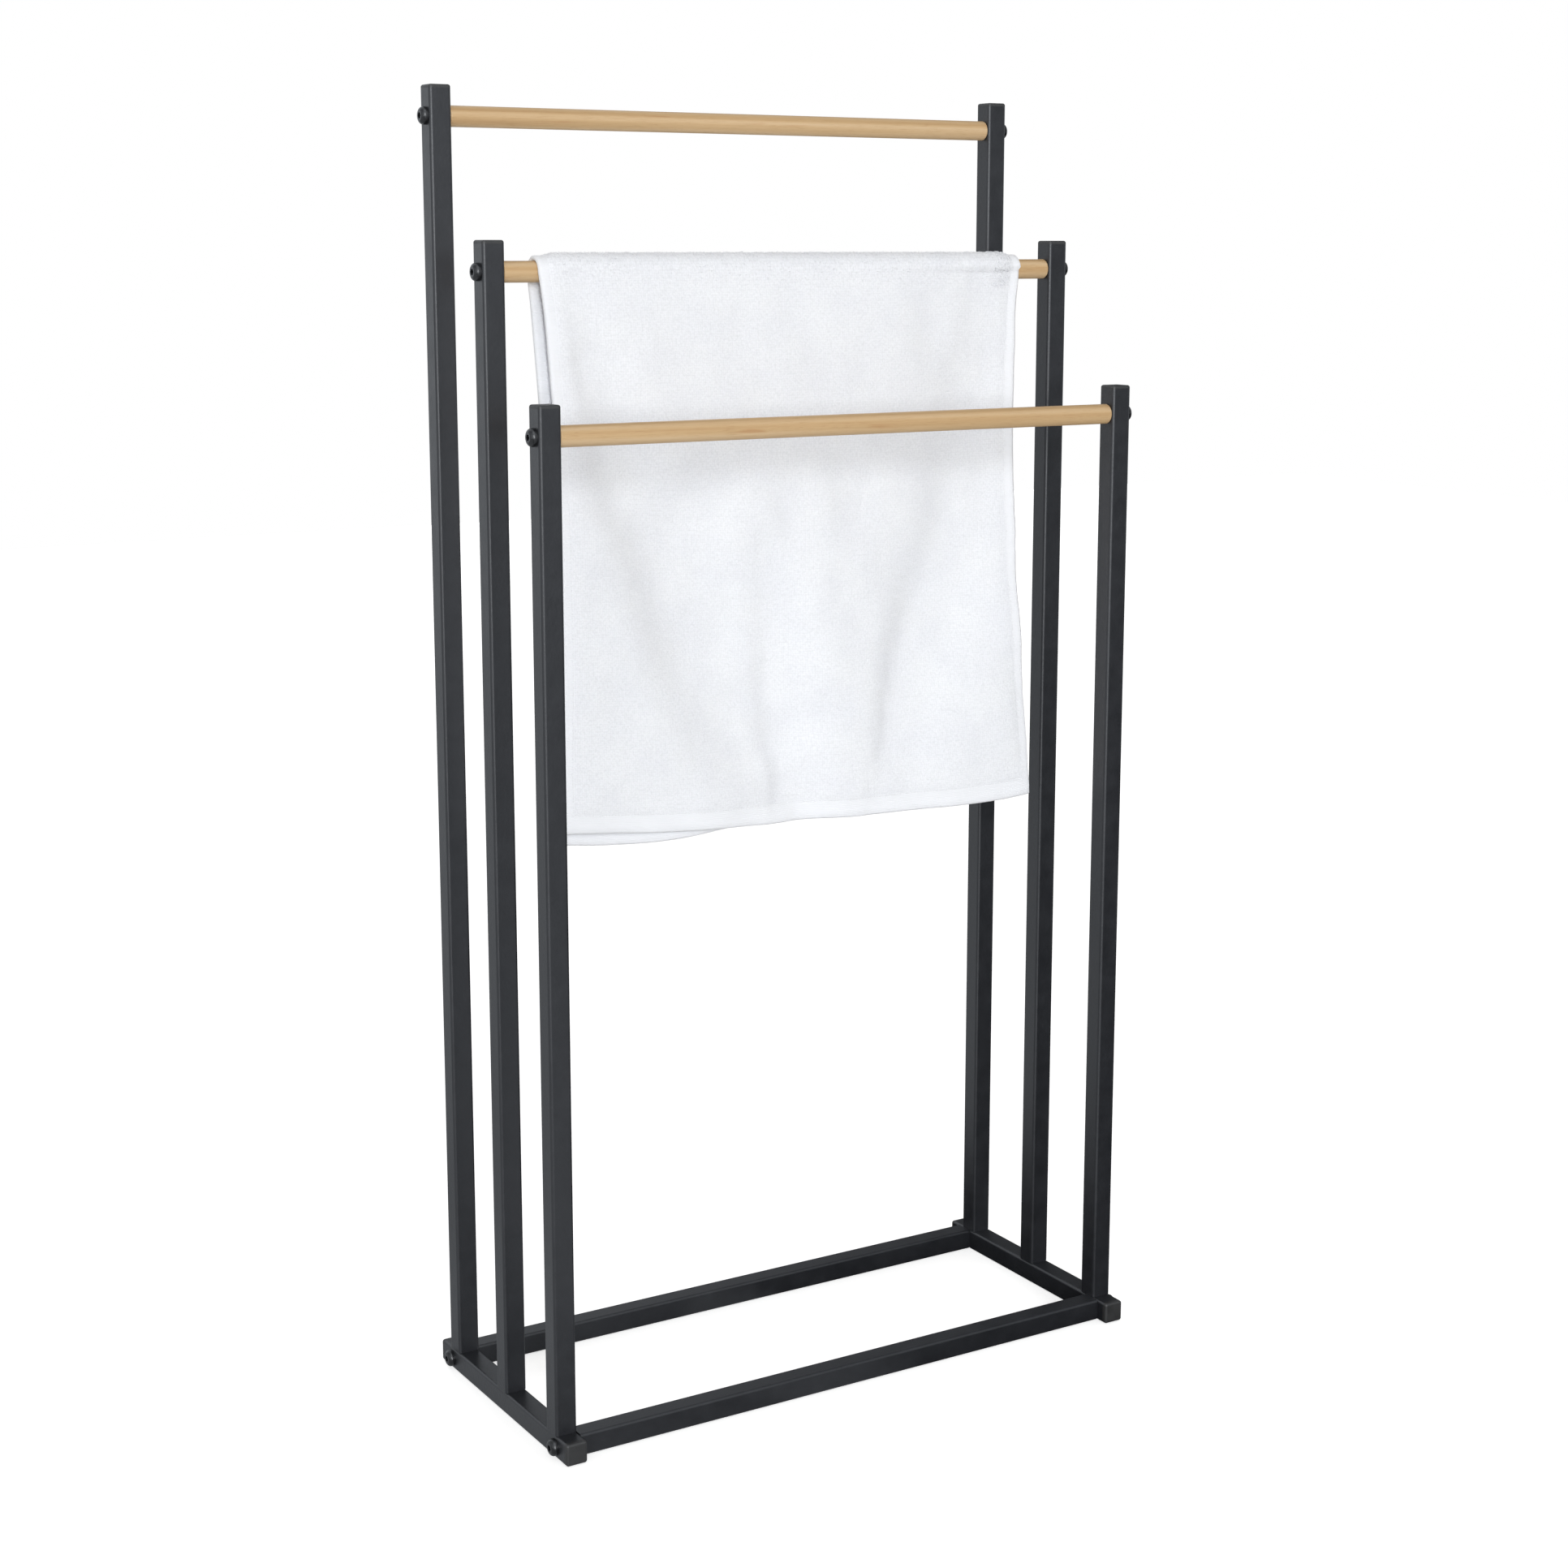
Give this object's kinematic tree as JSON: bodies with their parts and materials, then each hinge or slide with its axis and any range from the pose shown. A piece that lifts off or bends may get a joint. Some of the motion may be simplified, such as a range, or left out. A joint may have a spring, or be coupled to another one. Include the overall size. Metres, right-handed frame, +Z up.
{
  "type": "towel rack",
  "caption": "Free-standing towel rack: two side frames of square steel tube, floor rails and round wooden bars rising in tiers, with a towel hung over the middle bar.",
  "frame": {"origin": "on the floor, under the middle of the rack's overall box", "axes": "+X to the right along the bars, +Y to the back where the tall posts stand, +Z up"},
  "size_m": [0.6112, 0.26, 1.16],
  "materials": {
    "coated_steel": "fine matt powder coat, anthracite",
    "dark_plastic": "fine matt moulded plastic",
    "black_bolt": "glossy black",
    "plated_steel": "zinc plated",
    "wood": "light natural wood, clear satin finish",
    "terry": "white terry loops, flat-woven selvedges and hems"
  },
  "bodies": {
    "rack": {"left_base_tube": "coated_steel", "left_front_post": "coated_steel", "left_front_post_cap": "dark_plastic", "left_middle_post": "coated_steel", "left_middle_post_cap": "dark_plastic", "left_back_post": "coated_steel", "left_back_post_cap": "dark_plastic", "left_front_foot_cap": "dark_plastic", "left_back_foot_cap": "dark_plastic", "right_base_tube": "coated_steel", "right_front_post": "coated_steel", "right_front_post_cap": "dark_plastic", "right_middle_post": "coated_steel", "right_middle_post_cap": "dark_plastic", "right_back_post": "coated_steel", "right_back_post_cap": "dark_plastic", "right_front_foot_cap": "dark_plastic", "right_back_foot_cap": "dark_plastic", "front_rail": "coated_steel", "front_rail_left_nut": "plated_steel", "front_rail_left_bolt": "black_bolt", "front_rail_right_nut": "plated_steel", "front_rail_right_bolt": "black_bolt", "back_rail": "coated_steel", "back_rail_left_nut": "plated_steel", "back_rail_left_bolt": "black_bolt", "back_rail_right_nut": "plated_steel", "back_rail_right_bolt": "black_bolt", "front_bar": "wood", "front_bar_left_insert": "plated_steel", "front_bar_left_bolt": "black_bolt", "front_bar_right_insert": "plated_steel", "front_bar_right_bolt": "black_bolt", "middle_bar": "wood", "middle_bar_left_insert": "plated_steel", "middle_bar_left_bolt": "black_bolt", "middle_bar_right_insert": "plated_steel", "middle_bar_right_bolt": "black_bolt", "back_bar": "wood", "back_bar_left_insert": "plated_steel", "back_bar_left_bolt": "black_bolt", "back_bar_right_insert": "plated_steel", "back_bar_right_bolt": "black_bolt"},
    "towel": {"draped_towel": "terry"}
  },
  "joints": [
    {"name": "towel_slide", "type": "slide", "parent": "rack", "child": "towel", "axis": [1, 0, 0], "range_m": [-0.026, 0.017]}
  ]
}
